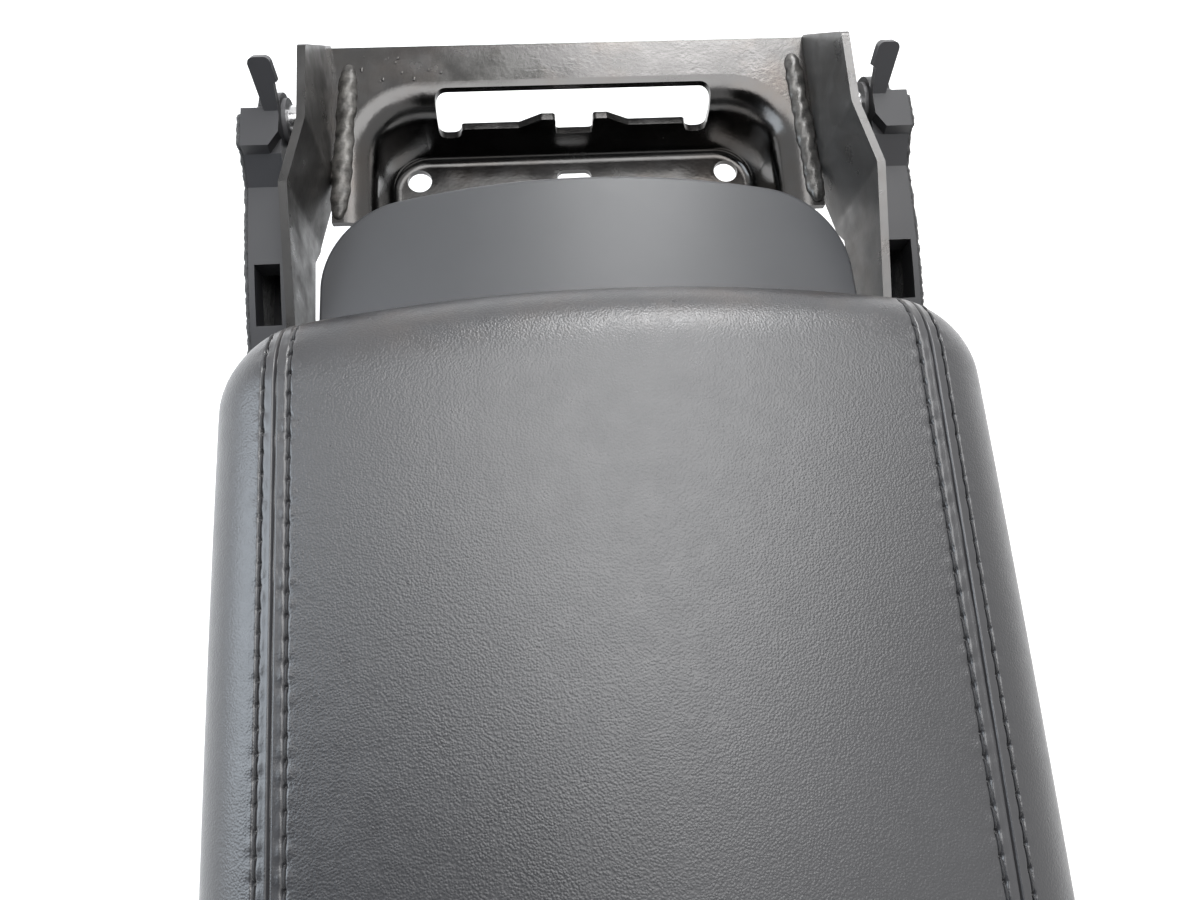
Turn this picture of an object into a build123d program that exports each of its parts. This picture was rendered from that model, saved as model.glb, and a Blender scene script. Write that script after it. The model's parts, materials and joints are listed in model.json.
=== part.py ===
from build123d import *

import math
import os

# Car centre armrest: a leather pad that swings up on a welded steel hinge bracket.
# Millimetres. X runs to the right, Y to the rear, Z up.
# The origin lies midway between the two bolt holes, on the underside of the bracket's pan.

# Pressed bracket plate
sheet = 2.0
bend_radius = 2.5
plate_width = 130.0
flange_rear = 27.0
flange_front = -25.0
side_flange = 12.5
rim_radius = 6.0
pan_depth = 24.0
pan_rear = 6.5
pan_front = -44.0
pan_corner = 11.0
pan_draft = 5.0
pan_front_lip = 7.0
bolt_spacing = 90.0
bolt_hole = 7.0
locating_slot_length = 10.0
locating_slot_width = 4.0
locating_slot_y = 0.0

# Hook slot across the rear bend of the plate, heights above the underside of the pan
slot_width = 75.5
slot_rear = 14.0
slot_corner = 3.0
slot_edge_round = 1.0
slot_lobe_width = 6.2
slot_lobe_height = 12.0
slot_lobe_round = 2.4
slot_flat_height = 15.6
slot_ramp_half = 15.3
slot_tab_half = 9.2
slot_tab_height = 18.8
slot_notch_half = 5.2
slot_notch_height = 12.6

# Side arms
arm_sheet = 2.0
arm_overlap = 6.0
arm_top = 54.0
arm_rear_rise = 1.0
arm_shoulder_y = 7.0
arm_shoulder_round = 2.0
joggle = 4.0
joggle_start = -12.5
joggle_end = -29.0
joggle_bend = 6.0
arm_nose_y = -30.0
arm_strip_start = -62.0
arm_strip_drop = 5.5
arm_strip_height = 19.0
arm_front = -140.0
arm_end_round = 6.0
arm_corner_round = 4.0

# Weld beads between plate and arms
weld_leg = 5.2
weld_rear_gap = 10.0
weld_front_gap = 6.0
weld_pitch = 3.6
weld_unevenness = 0.1
weld_phase = 2.3

# Pivot
pivot_y = -6.0
pivot_z = 42.0
journal_diameter = 6.0
shoulder_diameter = 8.0
rivet_countersink = 9.0
rivet_countersink_depth = 1.5
running_clearance = 0.05
seat_clearance = 0.02
bush_wall = 1.5
bush_flange = 1.0
bush_flange_width = 1.2
clip_sheet = 0.8
clip_width = 2.0
pin_end_length = 0.6

# Side ears
ear_side_gap = 1.2
ear_thickness = 8.8
ear_wall = 3.0
ear_bottom = 17.0
ear_nose_radius = 7.0
ear_nose_thickness = 5.0
ear_head_top = 50.0
ear_head_rear = -7.0
ear_head_front = -17.0
ear_step_y = -17.5
ear_step_z = 47.0
ear_chamfer_width = 2.6
ear_chamfer_length = 3.6
ear_ramp_y = -24.0
ear_ramp_z = 43.0
ear_crest_y = -42.0
ear_crest_z = 42.0
ear_valley_z = 38.0
ear_foot_gap = 22.0
ear_foot_length = 27.0
ear_foot_sheet = 2.6
ear_front_height = 14.0
ear_rib = 2.0
ear_window_rear = -43.5
ear_window_front = -58.0
ear_window_wall = 1.4
finger_length = 12.0
finger_lean = 48.0
finger_overlap = 1.0
finger_width = 5.3
finger_root_width = 3.3
finger_thickness = 2.4
finger_round = 1.5
finger_barb = 0.9
finger_barb_length = 5.5
finger_barb_ramp = 0.5
felt_sheet = 1.2
felt_border = 0.8

# Hinge cover between the arms
cover_side_gap = 4.0
cover_sheet = 2.5
cover_rear = -24.4
cover_rear_bow = 6.0
cover_corner = 22.0
cover_top_gap = 0.78
cover_slope = 5.5
cover_barrel_radius = 300.0
cover_edge_round = 1.1
cover_screw_x = 36.0
cover_screw_gap = 12.0
cover_boss = 8.0
cover_boss_reach = 0.5

# Armrest pad
pad_width = 164.5
pad_length = 270.0
pad_rear = -63.0
pad_rear_bow = 7.0
pad_front_bow = 12.0
pad_rear_corner = 20.0
pad_front_corner = 38.0
pad_bottom = 54.0
pad_top = 80.0
pad_crown_radius = 620.0
pad_roll = 17.0
leather = 1.5
hem_width = 14.0
seam_offset = 17.2
seam_width = 1.6
seam_depth = 0.7
soft_gap = 0.3
board_sheet = 3.0

# Lower shell under the pad
shell_inset = 4.0
shell_sheet = 3.2
shell_wall = 2.6
belly_side_gap = 9.5
belly_rear_gap = 21.0
belly_front_gap = 15.0
belly_depth = 12.0
belly_corner = 14.0
belly_edge_round = 5.0
boss_diameter = 11.0
boss_side_inset = 15.0
boss_rear_inset = 20.0
boss_front_inset = 22.0

# Screws and buffers
screw_diameter = 4.0
screw_head = 7.0
screw_head_height = 2.4
ear_screw_diameter = 3.0
ear_screw_head = 5.4
ear_screw_head_height = 2.0
ear_screw_rear_inset = 7.0
ear_screw_front_inset = 8.0
buffer_width = 9.0
buffer_length = 16.0
buffer_grip = 6.0
buffer_end_gap = 4.0

# Cutters run past the faces they cut by the overrun, and edges are picked within the tolerance
overrun = 1.0
tolerance = 1e-3

# Levels and places that follow from the sizes above
draft = math.radians(pan_draft)
pan_width = plate_width - 2 * side_flange
flange_top = sheet + pan_depth
weld_rear = flange_rear - weld_rear_gap
weld_front = flange_front + weld_front_gap
arm_bottom = flange_top - arm_overlap
arm_rear_height = flange_top + arm_rear_rise
arm_inner = plate_width / 2
arm_outer = arm_inner + arm_sheet
strip_inner = arm_inner + joggle
strip_outer = arm_outer + joggle
ear_inner = strip_outer + ear_side_gap
ear_outer = ear_inner + ear_thickness
journal_radius = journal_diameter / 2
bush_radius = journal_radius + running_clearance + bush_wall
clip_seat = ear_inner + ear_nose_thickness
hem_top = pad_bottom + leather
board_bottom = hem_top + soft_gap
board_top = board_bottom + board_sheet
shell_top = pad_bottom - soft_gap
shell_bottom = shell_top - shell_sheet
arm_strip_top = shell_bottom - arm_strip_drop
belly_bottom = shell_bottom - belly_depth
belly_width = 2 * (strip_inner - belly_side_gap)
belly_rear = pad_rear - belly_rear_gap
belly_front = pad_rear - pad_length + belly_front_gap
boss_x = belly_width / 2 - boss_side_inset
boss_rear_y = belly_rear - boss_rear_inset
boss_front_y = belly_front + boss_front_inset
cover_width = 2 * (strip_inner - cover_side_gap)
cover_front = belly_rear + soft_gap
cover_screw_y = pad_rear - cover_screw_gap
cover_angle = math.radians(cover_slope)
cover_crest = shell_bottom - cover_top_gap
cover_fall = (cover_screw_y + screw_head / 2 - cover_front) * math.tan(cover_angle)
cover_drop = cover_barrel_radius - math.sqrt(cover_barrel_radius**2 - (cover_screw_x + screw_head / 2) ** 2)
cover_underside = cover_crest - cover_fall - cover_drop - cover_sheet / math.cos(cover_angle)
cover_boss_bottom = cover_underside - cover_boss_reach
ear_valley_y = pad_rear
ear_foot_rear = pad_rear - ear_foot_gap
ear_foot_front = ear_foot_rear - ear_foot_length
ear_screw_x = (belly_width / 2 + strip_inner) / 2
ear_screw_rear_y = ear_foot_rear - ear_screw_rear_inset
ear_screw_front_y = ear_foot_front + ear_screw_front_inset


def slab(outline, low, high):
    """Extrude a plan outline between two heights."""
    return extrude(Pos(0, 0, low) * outline, amount=high - low)


def side_slab(outline, inner, outer):
    """Extrude an outline drawn in Y and Z between two distances from the middle."""
    return extrude(Plane.YZ.offset(inner) * outline, amount=outer - inner)


def pivot_disc(radius, inner, outer):
    """Cylinder on the pivot axis between two distances from the middle."""
    place = Pos(inner, pivot_y, pivot_z) * Rot(0, 90, 0)
    return place * Cylinder(radius, outer - inner, align=(Align.CENTER, Align.CENTER, Align.MIN))


def post(x, y, radius, low, high):
    """Upright cylinder between two heights."""
    return Pos(x, y, low) * Cylinder(radius, high - low, align=(Align.CENTER, Align.CENTER, Align.MIN))


def block(x_low, x_high, y_low, y_high, z_low, z_high):
    """Box between two corners."""
    size = (x_high - x_low, y_high - y_low, z_high - z_low)
    return Pos(x_low, y_low, z_low) * Box(*size, align=(Align.MIN, Align.MIN, Align.MIN))


def polygon(*points):
    """Closed face with straight sides."""
    return make_face(Polyline(*points, close=True))


def corners_at(outline, *points):
    """The outline's corners that lie at the given points."""
    return [min(outline.vertices(), key=lambda v: math.dist((v.X, v.Y), point)) for point in points]


def level_edges(body, height):
    """The body's edges that lie flat at a height."""
    level = body.edges().filter_by_position(Axis.Z, height - tolerance, height + tolerance)
    return level.filter_by(lambda e: e.bounding_box().size.Z < tolerance)


def both_sides(shape):
    """The right hand shape and its mirror image."""
    return [shape, mirror(shape, about=Plane.YZ)]


# Bracket plate: a skin of the pressing is a block with a drafted recess, and the sheet lies between two skins

def pressing(skin):
    """Block whose top is the plate's upper face, moved into the sheet by skin."""
    floor = sheet - skin
    top = flange_top - skin
    side_step = skin * (1 - math.sin(draft)) / math.cos(draft)
    half = pan_width / 2 + side_step
    rear = pan_rear + side_step
    front = pan_front - pan_depth
    plan = polygon((-half, front), (half, front), (half, rear), (-half, rear))
    plan = fillet(corners_at(plan, (half, rear), (-half, rear)), pan_corner + side_step)
    recess = extrude(Pos(0, 0, floor) * plan, amount=pan_depth + sheet, taper=-pan_draft)
    body = block(-arm_inner, arm_inner, pan_front, flange_rear, -pan_depth, top) - recess
    bottom_bend = [e for e in level_edges(body, floor) if e.center().Y > pan_front + tolerance]
    body = fillet(bottom_bend, bend_radius + skin)
    inside = (arm_inner - tolerance, pan_front + tolerance, flange_rear - tolerance)
    top_bend = [
        e for e in level_edges(body, top) if abs(e.center().X) < inside[0] and inside[1] < e.center().Y < inside[2]
    ]
    return fillet(top_bend, rim_radius + sheet - skin)


def hook_slot():
    """Cutter for the slot that runs from the flange over the bend into the rear wall."""
    half = slot_width / 2
    lobe = half - slot_lobe_width
    above = flange_top + sheet
    right = [
        (slot_notch_half, slot_notch_height),
        (slot_notch_half, slot_tab_height),
        (slot_tab_half, slot_tab_height),
        (slot_ramp_half, slot_flat_height),
        (lobe, slot_flat_height),
        (lobe, slot_lobe_height),
        (half, slot_lobe_height),
    ]
    left = [(-x, z) for x, z in reversed(right)]
    outline = polygon(*right, (half, above), (-half, above), *left)
    lobe_corners = [(x, slot_lobe_height) for x in (lobe, half, -lobe, -half)]
    other_corners = [point for point in right + left if point not in lobe_corners]
    outline = fillet(corners_at(outline, *lobe_corners), slot_lobe_round)
    outline = fillet(corners_at(outline, *other_corners), slot_edge_round)
    cutter = extrude(Plane.XZ * outline, amount=-slot_rear)
    plan = polygon((-half, -slot_rear), (half, -slot_rear), (half, slot_rear), (-half, slot_rear))
    plan = fillet(corners_at(plan, (half, slot_rear), (-half, slot_rear)), slot_corner)
    return cutter & slab(plan, 0, above)


def bracket_plate():
    plate = pressing(0) - pressing(sheet)
    run_out = polygon(
        (flange_front, flange_top + sheet),
        (flange_front, flange_top - sheet - rim_radius),
        (pan_front, pan_front_lip),
        (pan_front - sheet, pan_front_lip),
        (pan_front - sheet, flange_top + sheet),
    )
    plate -= side_slab(run_out, -plate_width, plate_width)
    plate -= hook_slot()
    for side in (-1, 1):
        plate -= post(side * bolt_spacing / 2, 0, bolt_hole / 2, -sheet, 2 * sheet)
    locating_slot = Pos(0, locating_slot_y) * SlotOverall(locating_slot_length, locating_slot_width)
    plate -= slab(locating_slot, -sheet, 2 * sheet)
    return plate


# Side arms: a joggled strip seen from above, cut to its outline seen from the side

def arm():
    plan = polygon(
        (arm_inner, flange_rear),
        (arm_outer, flange_rear),
        (arm_outer, joggle_start),
        (strip_outer, joggle_end),
        (strip_outer, arm_front),
        (strip_inner, arm_front),
        (strip_inner, joggle_end),
        (arm_inner, joggle_start),
    )
    inner_bends = corners_at(plan, (arm_inner, joggle_start), (strip_outer, joggle_end))
    plan = fillet(inner_bends, joggle_bend)
    outer_bends = corners_at(plan, (arm_outer, joggle_start), (strip_inner, joggle_end))
    plan = fillet(outer_bends, joggle_bend + arm_sheet)
    strip_bottom = arm_strip_top - arm_strip_height
    rise = arm_nose_y - (strip_bottom - arm_bottom)
    profile = polygon(
        (flange_rear, arm_bottom),
        (flange_rear, arm_rear_height),
        (arm_shoulder_y, arm_top),
        (joggle_end, arm_top),
        (arm_strip_start, arm_strip_top),
        (arm_front, arm_strip_top),
        (arm_front, strip_bottom),
        (rise, strip_bottom),
        (arm_nose_y, arm_bottom),
    )
    shoulder = corners_at(profile, (arm_shoulder_y, arm_top))
    profile = fillet(shoulder, arm_shoulder_round)
    ends = corners_at(profile, (arm_front, arm_strip_top), (arm_front, strip_bottom))
    profile = fillet(ends, arm_end_round)
    foot = corners_at(profile, (flange_rear, arm_bottom), (arm_nose_y, arm_bottom))
    profile = fillet(foot + corners_at(profile, (arm_strip_start, arm_strip_top)), arm_corner_round)
    strip = slab(plan, 0, arm_top + arm_sheet) & side_slab(profile, 0, strip_outer + arm_sheet)
    strip -= pivot_disc(journal_radius + seat_clearance, arm_inner - arm_sheet, arm_outer + arm_sheet)
    return strip - rivet_cone(seat_clearance)


def rivet_cone(clearance):
    """Countersunk tail of the pivot pin, flush with the arm's inner face."""
    place = Pos(arm_inner, pivot_y, pivot_z) * Rot(0, 90, 0)
    wide = rivet_countersink / 2 + clearance
    narrow = journal_radius + clearance
    return place * Cone(wide, narrow, rivet_countersink_depth, align=(Align.CENTER, Align.CENTER, Align.MIN))


def weld():
    """Uneven fillet bead: overlapping beads in the corner between flange and arm."""
    count = round((weld_rear - weld_front) / weld_pitch)
    bead = None
    for k in range(count + 1):
        y = weld_front + (weld_rear - weld_front) * k / count
        radius = weld_leg * (1 + weld_unevenness * math.sin(weld_phase * k))
        drop = Pos(arm_inner, y, flange_top) * Sphere(radius)
        bead = drop if bead is None else bead + drop
    reach = weld_leg * 2
    ends = (weld_front - reach, weld_rear + reach)
    inside = block(arm_inner - reach, arm_inner, *ends, flange_top - reach, flange_top + reach)
    return (bead & inside) - pressing(0)


# Pivot pins, clips and bushes

def pivot_pin():
    tail = pivot_disc(journal_radius, arm_inner, arm_outer) + rivet_cone(0)
    shoulder_end = ear_inner - bush_flange - running_clearance
    shoulder = pivot_disc(shoulder_diameter / 2, arm_outer, shoulder_end)
    journal_end = clip_seat + running_clearance + clip_sheet + pin_end_length
    return tail + shoulder + pivot_disc(journal_radius, shoulder_end, journal_end)


def retaining_clip():
    start = clip_seat + running_clearance
    ring = pivot_disc(journal_radius + clip_width, start, start + clip_sheet)
    return ring - pivot_disc(journal_radius + seat_clearance / 2, start, start + clip_sheet)


def pivot_bush():
    flange = pivot_disc(bush_radius + bush_flange_width, ear_inner - bush_flange, ear_inner)
    sleeve = pivot_disc(bush_radius, ear_inner, clip_seat - running_clearance)
    bore = pivot_disc(journal_radius + running_clearance, ear_inner - bush_flange, clip_seat)
    return flange + sleeve - bore


# Ears: hollow cheeks that carry the pad on the pins

def ear_outline():
    """Side outline: nose round the pivot, head, rim that dips behind the pad, and foot under it."""
    nose_top = (pivot_y, pivot_z + ear_nose_radius)
    nose_back = (pivot_y + ear_nose_radius, pivot_z)
    slope = math.sqrt(1 / 2) * ear_nose_radius
    nose_mid = (pivot_y + slope, pivot_z + slope)
    low_mid = ((nose_back[0] + ear_head_front) / 2, (nose_back[1] + ear_bottom) / 2 - ear_nose_radius)
    front_low = shell_bottom - ear_front_height
    edges = [
        ThreePointArc(nose_back, nose_mid, nose_top),
        Polyline(
            nose_top,
            (ear_head_rear, ear_head_top),
            (ear_head_front, ear_head_top),
            (ear_step_y, ear_step_z),
            (ear_ramp_y, ear_ramp_z),
        ),
        ThreePointArc((ear_ramp_y, ear_ramp_z), (ear_crest_y, ear_crest_z), (ear_valley_y, ear_valley_z)),
        Polyline(
            (ear_valley_y, ear_valley_z),
            (ear_foot_rear, shell_bottom),
            (ear_foot_front, shell_bottom),
            (ear_foot_front, front_low),
            (ear_valley_y, ear_bottom),
            (ear_head_front, ear_bottom),
        ),
        ThreePointArc((ear_head_front, ear_bottom), low_mid, nose_back),
    ]
    return make_face(edges)


def ear():
    outline = ear_outline()
    cheek = side_slab(outline, ear_inner, ear_outer)
    cheek -= ear_hollow()
    cheek -= ear_window()
    cheek -= behind_head(clip_seat, ear_outer)
    cheek -= head_chamfer()
    foot = block(
        belly_width / 2 + soft_gap,
        ear_inner,
        ear_foot_front,
        ear_foot_rear,
        shell_bottom - ear_foot_sheet,
        shell_bottom,
    )
    cheek += foot
    cheek += finger()
    cheek -= pivot_disc(bush_radius + seat_clearance, ear_inner - bush_flange, ear_outer + overrun)
    cheek -= pivot_disc(journal_radius + clip_width + overrun, clip_seat, ear_outer + overrun)
    for y in (ear_screw_rear_y, ear_screw_front_y):
        hole = ear_screw_diameter / 2 + running_clearance
        cheek -= post(ear_screw_x, y, hole, shell_bottom - 2 * ear_foot_sheet, shell_bottom + overrun)
    return cheek


def behind_head(inner, outer):
    """Space behind the ear's head, outside the thin nose that turns on the pin."""
    return block(inner, outer + overrun, ear_head_rear, ear_head_rear + ear_foot_length, 0, pad_top)


def ear_hollow():
    """Pockets moulded into the outer side under the felt, with a rib between them."""
    inner = ear_inner + ear_wall
    outer = ear_outer + overrun
    low = ear_bottom + ear_wall
    split = ear_window_front - ear_rib
    rear_pocket = polygon(
        (ear_ramp_y, low),
        (ear_ramp_y, ear_ramp_z - 2 * ear_wall),
        (ear_window_rear + ear_rib, ear_crest_z - 2 * ear_wall),
        (split, ear_valley_z - 2 * ear_wall),
        (split, low),
    )
    front_low = shell_bottom - ear_front_height
    front_pocket = polygon(
        (split - ear_rib, low),
        (split - ear_rib, ear_valley_z - 2 * ear_wall),
        (ear_foot_rear - ear_wall, shell_bottom - ear_foot_sheet - ear_wall),
        (ear_foot_front + ear_wall, shell_bottom - ear_foot_sheet - ear_wall),
        (ear_foot_front + ear_wall, front_low + ear_wall),
        (ear_valley_y, low),
    )
    return side_slab(rear_pocket, inner, outer) + side_slab(front_pocket, inner, outer)


def ear_window():
    """Opening in the top rim that looks into the rear pocket."""
    return block(
        ear_inner + ear_window_wall,
        ear_outer - ear_window_wall,
        ear_window_front,
        ear_window_rear,
        ear_valley_z - 3 * ear_wall,
        ear_crest_z + ear_wall,
    )


def finger():
    """Rear finger that leans up behind the head, with a small barb towards the arm."""
    angle = math.radians(finger_lean)
    lean = Plane(
        origin=(ear_inner, ear_head_rear - finger_overlap, ear_head_top),
        x_dir=(1, 0, 0),
        z_dir=(0, -math.sin(angle), math.cos(angle)),
    )
    barb = finger_length - finger_barb_length
    plan = polygon(
        (0, 0),
        (finger_root_width, 0),
        (finger_width, finger_length),
        (0, finger_length),
        (-finger_barb, barb),
        (0, barb - finger_barb_ramp),
    )
    plan = fillet(corners_at(plan, (finger_width, finger_length), (0, finger_length)), finger_round)
    return extrude(lean * plan, amount=-finger_thickness)


def head_chamfer():
    """Corner taken off the front of the head, on the side of the arm."""
    start = ear_head_front + ear_chamfer_length
    end = ear_step_y - overrun
    plan = polygon(
        (ear_inner - overrun, start),
        (ear_inner, start),
        (ear_inner + ear_chamfer_width, ear_step_y),
        (ear_inner + ear_chamfer_width, end),
        (ear_inner - overrun, end),
    )
    return slab(plan, ear_step_z, pad_top)


def felt():
    """Felt glued on the ear's outer face, a little inside its edge."""
    outline = offset(ear_outline(), amount=-felt_border)
    sheet_of_felt = side_slab(outline, ear_outer, ear_outer + felt_sheet)
    return sheet_of_felt - Pos(0, -felt_border, 0) * behind_head(ear_outer - overrun, ear_outer + felt_sheet)


# Hinge cover: a shallow barrel that slopes to the rear, with an arched rear edge

def hinge_cover():
    half = cover_width / 2
    bow = cover_rear - cover_rear_bow
    edges = [
        Polyline((-half, bow), (-half, cover_front), (half, cover_front), (half, bow)),
        ThreePointArc((half, bow), (0, cover_rear), (-half, bow)),
    ]
    plan = make_face(edges)
    plan = fillet(corners_at(plan, (half, bow), (-half, bow)), cover_corner)
    run = cover_rear - cover_front
    along = (0, math.cos(cover_angle), -math.sin(cover_angle))
    start = Plane(origin=(0, cover_front, cover_crest), x_dir=(1, 0, 0), z_dir=along)
    outer = Circle(cover_barrel_radius)
    inner = Circle(cover_barrel_radius - cover_sheet)
    ring = Pos(0, cover_barrel_radius) * (outer - inner)
    window = Pos(0, cover_width / 4) * Rectangle(2 * cover_width, cover_width / 2)
    barrel = extrude(start * (ring & window), amount=run / math.cos(cover_angle) + cover_sheet)
    cover = barrel & slab(plan, 0, pad_top)
    top = max(cover.faces(), key=lambda face: face.area * face.normal_at().Z)
    cover = fillet([e for e in top.edges() if e.center().Y > cover_front + tolerance], cover_edge_round)
    for x in (-cover_screw_x, cover_screw_x):
        cover += post(x, cover_screw_y, cover_boss / 2, cover_boss_bottom, shell_bottom)
        cover -= post(x, cover_screw_y, screw_diameter / 2 + running_clearance, cover_boss_bottom, shell_bottom)
    return cover


# Pad: one outline, taken in by the thickness of each layer

def pad_plan():
    half = pad_width / 2
    rear = pad_rear - pad_rear_bow
    front = pad_rear - pad_length
    front_side = front + pad_front_bow
    edges = [
        ThreePointArc((half, rear), (0, pad_rear), (-half, rear)),
        Line((-half, rear), (-half, front_side)),
        ThreePointArc((-half, front_side), (0, front), (half, front_side)),
        Line((half, front_side), (half, rear)),
    ]
    plan = make_face(edges)
    plan = fillet(corners_at(plan, (half, rear), (-half, rear)), pad_rear_corner)
    return fillet(corners_at(plan, (half, front_side), (-half, front_side)), pad_front_corner)


def taken_in(inset):
    """Pad outline moved inwards."""
    return offset(pad_plan(), amount=-inset)


def pad_body(inset, bottom):
    """Crowned pad with a rolled top edge, moved inwards by inset."""
    plan = taken_in(inset) if inset else pad_plan()
    place = Pos(0, pad_rear - pad_length / 2, pad_top - pad_crown_radius) * Rot(90, 0, 0)
    crown = place * Cylinder(pad_crown_radius - inset, 2 * pad_length)
    body = slab(plan, bottom, pad_top + overrun) & crown
    return fillet(body.faces().sort_by(Axis.Z)[-1].edges(), pad_roll - inset)


def seam_grooves(body):
    """Two pressed-open seams that run the length of the pad."""
    skin = body - pad_body(seam_depth, pad_bottom)
    seam_x = pad_width / 2 - seam_offset
    middle = (pad_bottom + pad_top) / 2
    blade = block(
        seam_x - seam_width / 2, seam_x + seam_width / 2, pad_rear - pad_length, pad_rear, middle, pad_top
    )
    left, right = both_sides(blade)
    return skin & (left + right)


def leather_cover():
    outside = pad_body(0, pad_bottom)
    cover = outside - pad_body(leather, hem_top)
    cover -= slab(taken_in(hem_width), pad_bottom - overrun, hem_top + overrun)
    return cover - seam_grooves(outside)


def foam_pad():
    return pad_body(leather + soft_gap, board_top + soft_gap)


def shell_screw_places():
    return [(x, y) for x in (-boss_x, boss_x) for y in (boss_rear_y, boss_front_y)]


def carrier_board():
    board = slab(taken_in(leather + 2 * soft_gap), board_bottom, board_top)
    for x, y in shell_screw_places():
        board -= post(x, y, screw_diameter / 2 + running_clearance, board_bottom, board_top)
    return board


# Lower shell: a cover plate with a belly that hangs between the arms

def belly(inset, bottom, top):
    half = belly_width / 2 - inset
    rear = belly_rear - inset
    front = belly_front + inset
    plan = polygon((-half, front), (half, front), (half, rear), (-half, rear))
    plan = fillet(plan.vertices(), belly_corner - inset)
    return slab(plan, bottom, top)


def lower_shell():
    bulge = belly(0, belly_bottom, shell_bottom)
    bulge = fillet(bulge.faces().sort_by(Axis.Z)[0].edges(), belly_edge_round)
    shell = slab(taken_in(shell_inset), shell_bottom, shell_top) + bulge
    hollow = belly(shell_wall, belly_bottom + shell_wall, shell_top)
    shell -= fillet(hollow.faces().sort_by(Axis.Z)[0].edges(), belly_edge_round - shell_wall)
    for x, y in shell_screw_places():
        shell += post(x, y, boss_diameter / 2, belly_bottom + shell_wall / 2, board_bottom)
        shell -= post(x, y, screw_diameter / 2 + running_clearance, belly_bottom, board_bottom)
        shell -= post(x, y, screw_head / 2 + soft_gap, belly_bottom, belly_bottom + screw_head_height + soft_gap)
    for x in (-cover_screw_x, cover_screw_x):
        shell -= post(x, cover_screw_y, screw_diameter / 2 + running_clearance, shell_bottom, shell_top)
    for x in (-ear_screw_x, ear_screw_x):
        for y in (ear_screw_rear_y, ear_screw_front_y):
            shell -= post(x, y, ear_screw_diameter / 2 + running_clearance, shell_bottom, shell_top)
    return shell


# Screws and rubber buffers

def screw(x, y, diameter, head, head_height, seat, tip):
    """Screw driven upwards: its head lies under the seat."""
    dome = post(x, y, head / 2, seat - head_height, seat)
    dome = fillet(dome.faces().sort_by(Axis.Z)[0].edges(), head_height / 3)
    return dome + post(x, y, diameter / 2, seat, tip)


def shell_screws():
    seat = belly_bottom + screw_head_height + soft_gap
    sizes = (screw_diameter, screw_head, screw_head_height)
    return [screw(x, y, *sizes, seat, board_top) for x, y in shell_screw_places()]


def hinge_cover_screws():
    return [
        screw(x, cover_screw_y, screw_diameter, screw_head, screw_head_height, cover_boss_bottom, shell_top)
        for x in (-cover_screw_x, cover_screw_x)
    ]


def ear_screws():
    seat = shell_bottom - ear_foot_sheet
    return [
        screw(x, y, ear_screw_diameter, ear_screw_head, ear_screw_head_height, seat, shell_top)
        for x in (-ear_screw_x, ear_screw_x)
        for y in (ear_screw_rear_y, ear_screw_front_y)
    ]


def buffer():
    """Rubber saddle pushed over the front end of an arm; the shell comes down on it."""
    middle = (strip_inner + strip_outer) / 2
    rear = arm_front + arm_end_round + buffer_end_gap + buffer_length
    top = shell_bottom - soft_gap
    saddle = block(
        middle - buffer_width / 2,
        middle + buffer_width / 2,
        rear - buffer_length,
        rear,
        arm_strip_top - buffer_grip,
        top,
    )
    saddle = fillet(saddle.edges().filter_by(Axis.Z), buffer_width / 4)
    return saddle - block(strip_inner, strip_outer, rear - buffer_length, rear, 0, arm_strip_top)


parts = {
    "bracket_plate": bracket_plate(),
    "hinge_cover": hinge_cover(),
    "leather_cover": leather_cover(),
    "foam_pad": foam_pad(),
    "carrier_board": carrier_board(),
    "lower_shell": lower_shell(),
    "shell_screws": Compound(shell_screws()),
    "hinge_cover_screws": Compound(hinge_cover_screws()),
    "ear_screws": Compound(ear_screws()),
}
paired = {
    "arm": arm(),
    "weld": weld(),
    "pivot_pin": pivot_pin(),
    "retaining_clip": retaining_clip(),
    "pivot_bush": pivot_bush(),
    "ear": ear(),
    "felt": felt(),
    "buffer": buffer(),
}
for name, shape in paired.items():
    parts[name + "_right"], parts[name + "_left"] = both_sides(shape)

os.makedirs("parts", exist_ok=True)
for name, shape in parts.items():
    export_step(shape, f"parts/{name}.step")
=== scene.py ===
"""Car centre armrest: leather, thread, weld beads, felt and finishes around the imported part."""
import json
import math

import bpy
import numpy as np
from bpy.props import FloatProperty, FloatVectorProperty, IntProperty, PointerProperty
from mathutils import Matrix, Vector
from mathutils.bvhtree import BVHTree


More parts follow.
